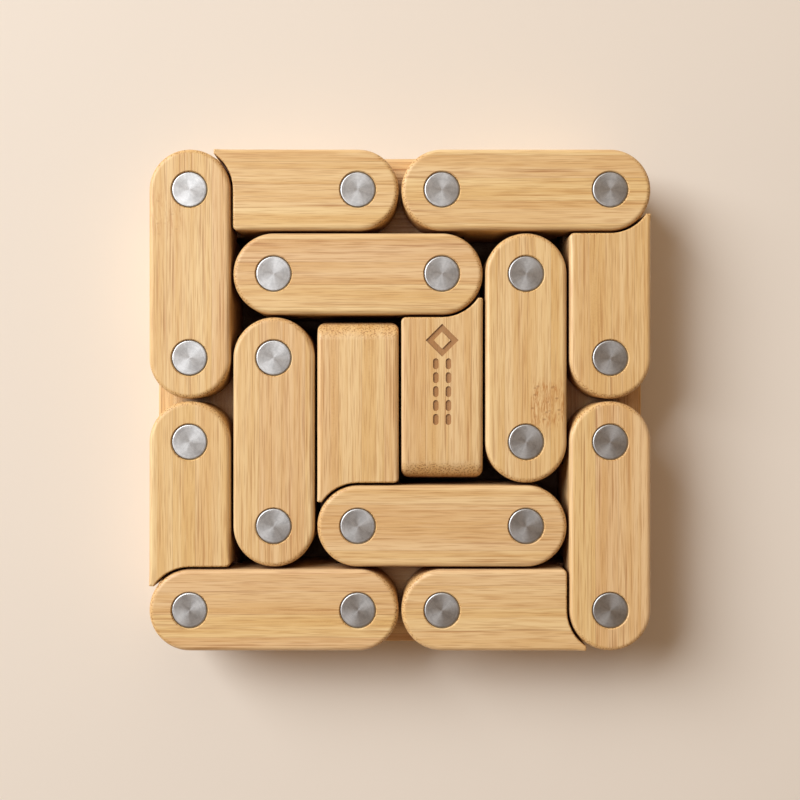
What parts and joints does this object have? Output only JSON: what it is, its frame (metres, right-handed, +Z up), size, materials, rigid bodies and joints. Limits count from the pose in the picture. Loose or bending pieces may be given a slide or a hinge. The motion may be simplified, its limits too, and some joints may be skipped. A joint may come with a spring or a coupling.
{
  "type": "articulated link puzzle",
  "caption": "Square block folded from a closed ring of lap-jointed bamboo links on steel rivets, nested round loose hinged pairs and bars.",
  "frame": {"origin": "centre of the underside of the folded block, on the surface it rests on", "axes": "+Z up through the thickness, +X along the top and bottom sides to the right, +Y towards the top side"},
  "size_m": [0.1194, 0.1194, 0.02],
  "materials": {
    "bamboo": "satin",
    "steel": "satin"
  },
  "bodies": {
    "short_link_top": {"ring_short_link_top": "bamboo"},
    "step_link_top": {"ring_step_link_top": "bamboo", "rivet_barrels_step_link_top": "steel", "rivet_caps_step_link_top": "steel"},
    "long_link_top": {"ring_long_link_top": "bamboo", "rivet_barrels_long_link_top": "steel", "rivet_caps_long_link_top": "steel"},
    "short_link_right": {"ring_short_link_right": "bamboo"},
    "step_link_right": {"ring_step_link_right": "bamboo", "rivet_barrels_step_link_right": "steel", "rivet_caps_step_link_right": "steel"},
    "long_link_right": {"ring_long_link_right": "bamboo", "rivet_barrels_long_link_right": "steel", "rivet_caps_long_link_right": "steel"},
    "short_link_bottom": {"ring_short_link_bottom": "bamboo"},
    "step_link_bottom": {"ring_step_link_bottom": "bamboo", "rivet_barrels_step_link_bottom": "steel", "rivet_caps_step_link_bottom": "steel"},
    "long_link_bottom": {"ring_long_link_bottom": "bamboo", "rivet_barrels_long_link_bottom": "steel", "rivet_caps_long_link_bottom": "steel"},
    "short_link_left": {"ring_short_link_left": "bamboo"},
    "step_link_left": {"ring_step_link_left": "bamboo", "rivet_barrels_step_link_left": "steel", "rivet_caps_step_link_left": "steel"},
    "long_link_left": {"ring_long_link_left": "bamboo", "rivet_barrels_long_link_left": "steel", "rivet_caps_long_link_left": "steel"},
    "inner_pair_bottom": {"pair_link_bottom": "bamboo", "pair_arm_bottom": "bamboo", "rivet_barrels_pair_bottom": "steel", "rivet_caps_pair_bottom": "steel"},
    "inner_pair_top": {"pair_link_top": "bamboo", "pair_arm_top": "bamboo", "rivet_barrels_pair_top": "steel", "rivet_caps_pair_top": "steel"},
    "inner_bar_left": {"bar_upper_plate_left": "bamboo", "bar_lower_plate_left": "bamboo", "rivet_barrels_bar_left": "steel", "rivet_caps_bar_left": "steel"},
    "inner_bar_right": {"bar_upper_plate_right": "bamboo", "bar_lower_plate_right": "bamboo", "rivet_barrels_bar_right": "steel", "rivet_caps_bar_right": "steel"}
  },
  "joints": [
    {"name": "ring_open", "type": "slide", "parent": "inner_pair_bottom", "child": "short_link_top", "axis": [0, 1, 0], "range_m": [0, 0.01464]},
    {"name": "side_fold_top_right", "type": "hinge", "parent": "short_link_top", "child": "long_link_top", "pos_m": [0.01, 0.05, 0], "axis": [0, 0, 1], "range_deg": [-30, 0]},
    {"name": "corner_fold_right", "type": "hinge", "parent": "long_link_top", "child": "step_link_right", "pos_m": [0.05, 0.05, 0], "axis": [0, 0, 1], "range_deg": [0, 60]},
    {"name": "side_fold_right_upper", "type": "hinge", "parent": "step_link_right", "child": "short_link_right", "pos_m": [0.05, 0.01, 0], "axis": [0, 0, 1], "range_deg": [-30, 0]},
    {"name": "side_fold_right_lower", "type": "hinge", "parent": "short_link_right", "child": "long_link_right", "pos_m": [0.05, -0.01, 0], "axis": [0, 0, 1], "range_deg": [-30, 0]},
    {"name": "corner_fold_bottom", "type": "hinge", "parent": "long_link_right", "child": "step_link_bottom", "pos_m": [0.05, -0.05, 0], "axis": [0, 0, 1], "range_deg": [0, 60]},
    {"name": "side_fold_bottom_right", "type": "hinge", "parent": "step_link_bottom", "child": "short_link_bottom", "pos_m": [0.01, -0.05, 0], "axis": [0, 0, 1], "range_deg": [-30, 0]},
    {"name": "side_fold_top_left", "type": "hinge", "parent": "short_link_top", "child": "step_link_top", "pos_m": [-0.01, 0.05, 0], "axis": [0, 0, 1], "range_deg": [0, 30]},
    {"name": "corner_fold_top", "type": "hinge", "parent": "step_link_top", "child": "long_link_left", "pos_m": [-0.05, 0.05, 0], "axis": [0, 0, 1], "range_deg": [-60, 0]},
    {"name": "side_fold_left_upper", "type": "hinge", "parent": "long_link_left", "child": "short_link_left", "pos_m": [-0.05, 0.01, 0], "axis": [0, 0, 1], "range_deg": [0, 30]},
    {"name": "side_fold_left_lower", "type": "hinge", "parent": "short_link_left", "child": "step_link_left", "pos_m": [-0.05, -0.01, 0], "axis": [0, 0, 1], "range_deg": [0, 30]},
    {"name": "corner_fold_left", "type": "hinge", "parent": "step_link_left", "child": "long_link_bottom", "pos_m": [-0.05, -0.05, 0], "axis": [0, 0, 1], "range_deg": [-60, 0]},
    {"name": "lift_pair_top", "type": "slide", "parent": "inner_pair_bottom", "child": "inner_pair_top", "axis": [0, 0, 1], "range_m": [0, 0.03]},
    {"name": "lift_bar_left", "type": "slide", "parent": "inner_pair_bottom", "child": "inner_bar_left", "axis": [0, 0, 1], "range_m": [0, 0.03]},
    {"name": "lift_bar_right", "type": "slide", "parent": "inner_pair_bottom", "child": "inner_bar_right", "axis": [0, 0, 1], "range_m": [0, 0.03]}
  ],
  "couplings": [
    {"joint": "side_fold_top_right", "follows": "ring_open", "rad_per_m": -35.762},
    {"joint": "corner_fold_right", "follows": "ring_open", "rad_per_m": 71.525},
    {"joint": "side_fold_right_upper", "follows": "ring_open", "rad_per_m": -35.762},
    {"joint": "side_fold_right_lower", "follows": "ring_open", "rad_per_m": -35.762},
    {"joint": "corner_fold_bottom", "follows": "ring_open", "rad_per_m": 71.525},
    {"joint": "side_fold_bottom_right", "follows": "ring_open", "rad_per_m": -35.762},
    {"joint": "side_fold_top_left", "follows": "ring_open", "rad_per_m": 35.762},
    {"joint": "corner_fold_top", "follows": "ring_open", "rad_per_m": -71.525},
    {"joint": "side_fold_left_upper", "follows": "ring_open", "rad_per_m": 35.762},
    {"joint": "side_fold_left_lower", "follows": "ring_open", "rad_per_m": 35.762},
    {"joint": "corner_fold_left", "follows": "ring_open", "rad_per_m": -71.525}
  ]
}
